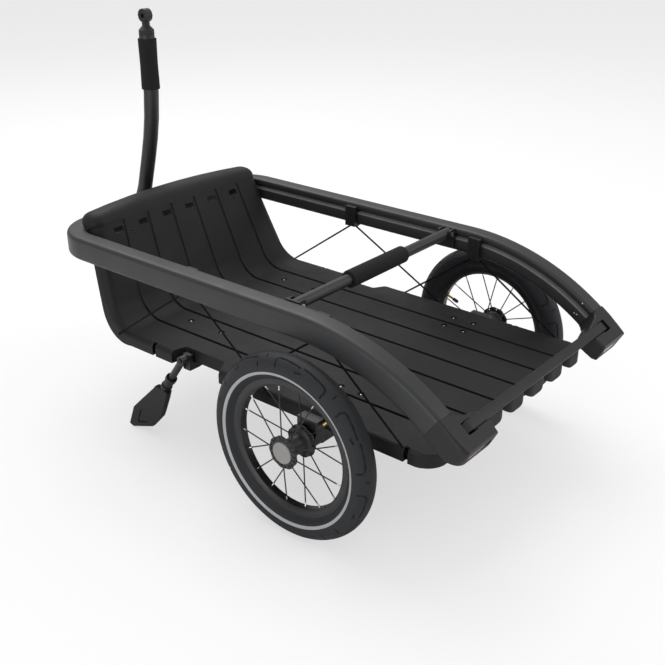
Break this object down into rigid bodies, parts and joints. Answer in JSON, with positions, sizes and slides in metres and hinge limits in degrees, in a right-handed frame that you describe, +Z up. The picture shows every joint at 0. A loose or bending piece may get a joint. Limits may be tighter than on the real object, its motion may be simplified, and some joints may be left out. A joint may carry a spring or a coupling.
{
  "type": "cargo bike trailer",
  "caption": "Flat-bed cargo trailer for a bicycle: moulded tray with a raised front panel, bent rail with a cross handle, spoked wheels, folding stands and a folding drawbar.",
  "frame": {"origin": "on the ground, below the middle of the trailer's outer box", "axes": "+Z up, -X towards the drawbar (the trailer's front), +X towards the reflectors (its rear), -Y the trailer's left side"},
  "size_m": [1.2552, 0.816, 0.9403],
  "materials": {
    "rail_paint": "satin charcoal powder coat",
    "tray_plastic": "grained black",
    "cap_plastic": "satin black",
    "foam": "matte black foam",
    "tyre_rubber": "matte black",
    "foot_rubber": "matte black",
    "frame_paint": "satin black",
    "rim_paint": "satin black",
    "hub_metal": "dark grey",
    "button_plastic": "warm grey",
    "bright_steel": "bright",
    "band": "reflective silver",
    "valve_brass": "bright",
    "reflector": "clear red",
    "cord": "black braid"
  },
  "bodies": {
    "chassis": {"top_rail": "rail_paint", "rear_crossbar": "rail_paint", "handle_tube": "rail_paint", "load_tray": "tray_plastic", "foam_grip": "foam", "underframe": "frame_paint", "drawbar_bracket": "frame_paint", "drawbar_pivot_pin": "bright_steel", "rail_end_cap_left": "cap_plastic", "handle_bracket_left": "cap_plastic", "cord_clip_front_left": "cap_plastic", "cord_clip_rear_left": "cap_plastic", "rear_reflector_left": "reflector", "handle_pin_left": "bright_steel", "cord_loop_front_left": "bright_steel", "cord_loop_rear_left": "bright_steel", "wheel_axle_left": "bright_steel", "stand_pivot_pin_left": "bright_steel", "lacing_cord_left": "cord", "wheel_receiver_left": "frame_paint", "stand_bracket_left": "frame_paint", "rail_end_cap_right": "cap_plastic", "handle_bracket_right": "cap_plastic", "cord_clip_front_right": "cap_plastic", "cord_clip_rear_right": "cap_plastic", "rear_reflector_right": "reflector", "handle_pin_right": "bright_steel", "cord_loop_front_right": "bright_steel", "cord_loop_rear_right": "bright_steel", "wheel_axle_right": "bright_steel", "stand_pivot_pin_right": "bright_steel", "lacing_cord_right": "cord", "wheel_receiver_right": "frame_paint", "stand_bracket_right": "frame_paint"},
    "left_wheel": {"tyre_left": "tyre_rubber", "reflective_band_left": "band", "rim_left": "rim_paint", "valve_left": "valve_brass", "wheel_hub_left": "hub_metal", "hub_bearing_outer_left": "bright_steel", "hub_bearing_inner_left": "bright_steel"},
    "left_button": {"release_button_left": "button_plastic"},
    "left_stand": {"stand_leg_left": "frame_paint", "stand_collar_left": "cap_plastic", "stand_foot_left": "foot_rubber"},
    "right_wheel": {"tyre_right": "tyre_rubber", "reflective_band_right": "band", "rim_right": "rim_paint", "valve_right": "valve_brass", "wheel_hub_right": "hub_metal", "hub_bearing_outer_right": "bright_steel", "hub_bearing_inner_right": "bright_steel"},
    "right_button": {"release_button_right": "button_plastic"},
    "right_stand": {"stand_leg_right": "frame_paint", "stand_collar_right": "cap_plastic", "stand_foot_right": "foot_rubber"},
    "drawbar": {"drawbar_tube": "rail_paint", "drawbar_grip": "foam", "hitch_coupling": "bright_steel"},
    "clamp_knob": {"drawbar_clamp_knob": "cap_plastic"}
  },
  "joints": [
    {"name": "left_wheel_spin", "type": "hinge", "parent": "chassis", "child": "left_wheel", "pos_m": [0.25591, -0.3742, 0.203], "axis": [0, 1, 0], "continuous": true},
    {"name": "left_button_press", "type": "slide", "parent": "chassis", "child": "left_button", "axis": [0, 1, 0], "range_m": [0, 0.003], "stiffness_N_per_m": 900, "springref_m": -0.002},
    {"name": "left_stand_fold", "type": "hinge", "parent": "chassis", "child": "left_stand", "pos_m": [-0.14109, -0.299, 0.238], "axis": [0, -1, 0], "range_deg": [0, 97]},
    {"name": "right_wheel_spin", "type": "hinge", "parent": "chassis", "child": "right_wheel", "pos_m": [0.25591, 0.3742, 0.203], "axis": [0, 1, 0], "continuous": true},
    {"name": "right_button_press", "type": "slide", "parent": "chassis", "child": "right_button", "axis": [0, -1, 0], "range_m": [0, 0.003], "stiffness_N_per_m": 900, "springref_m": -0.002},
    {"name": "right_stand_fold", "type": "hinge", "parent": "chassis", "child": "right_stand", "pos_m": [-0.14109, 0.299, 0.238], "axis": [0, -1, 0], "range_deg": [0, 97]},
    {"name": "drawbar_fold", "type": "hinge", "parent": "chassis", "child": "drawbar", "pos_m": [-0.33809, 0, 0.205], "axis": [0, -1, 0], "range_deg": [0, 62]},
    {"name": "clamp_knob_turn", "type": "hinge", "parent": "chassis", "child": "clamp_knob", "pos_m": [-0.33809, -0.0346, 0.205], "axis": [0, -1, 0], "range_deg": [0, 180]}
  ]
}
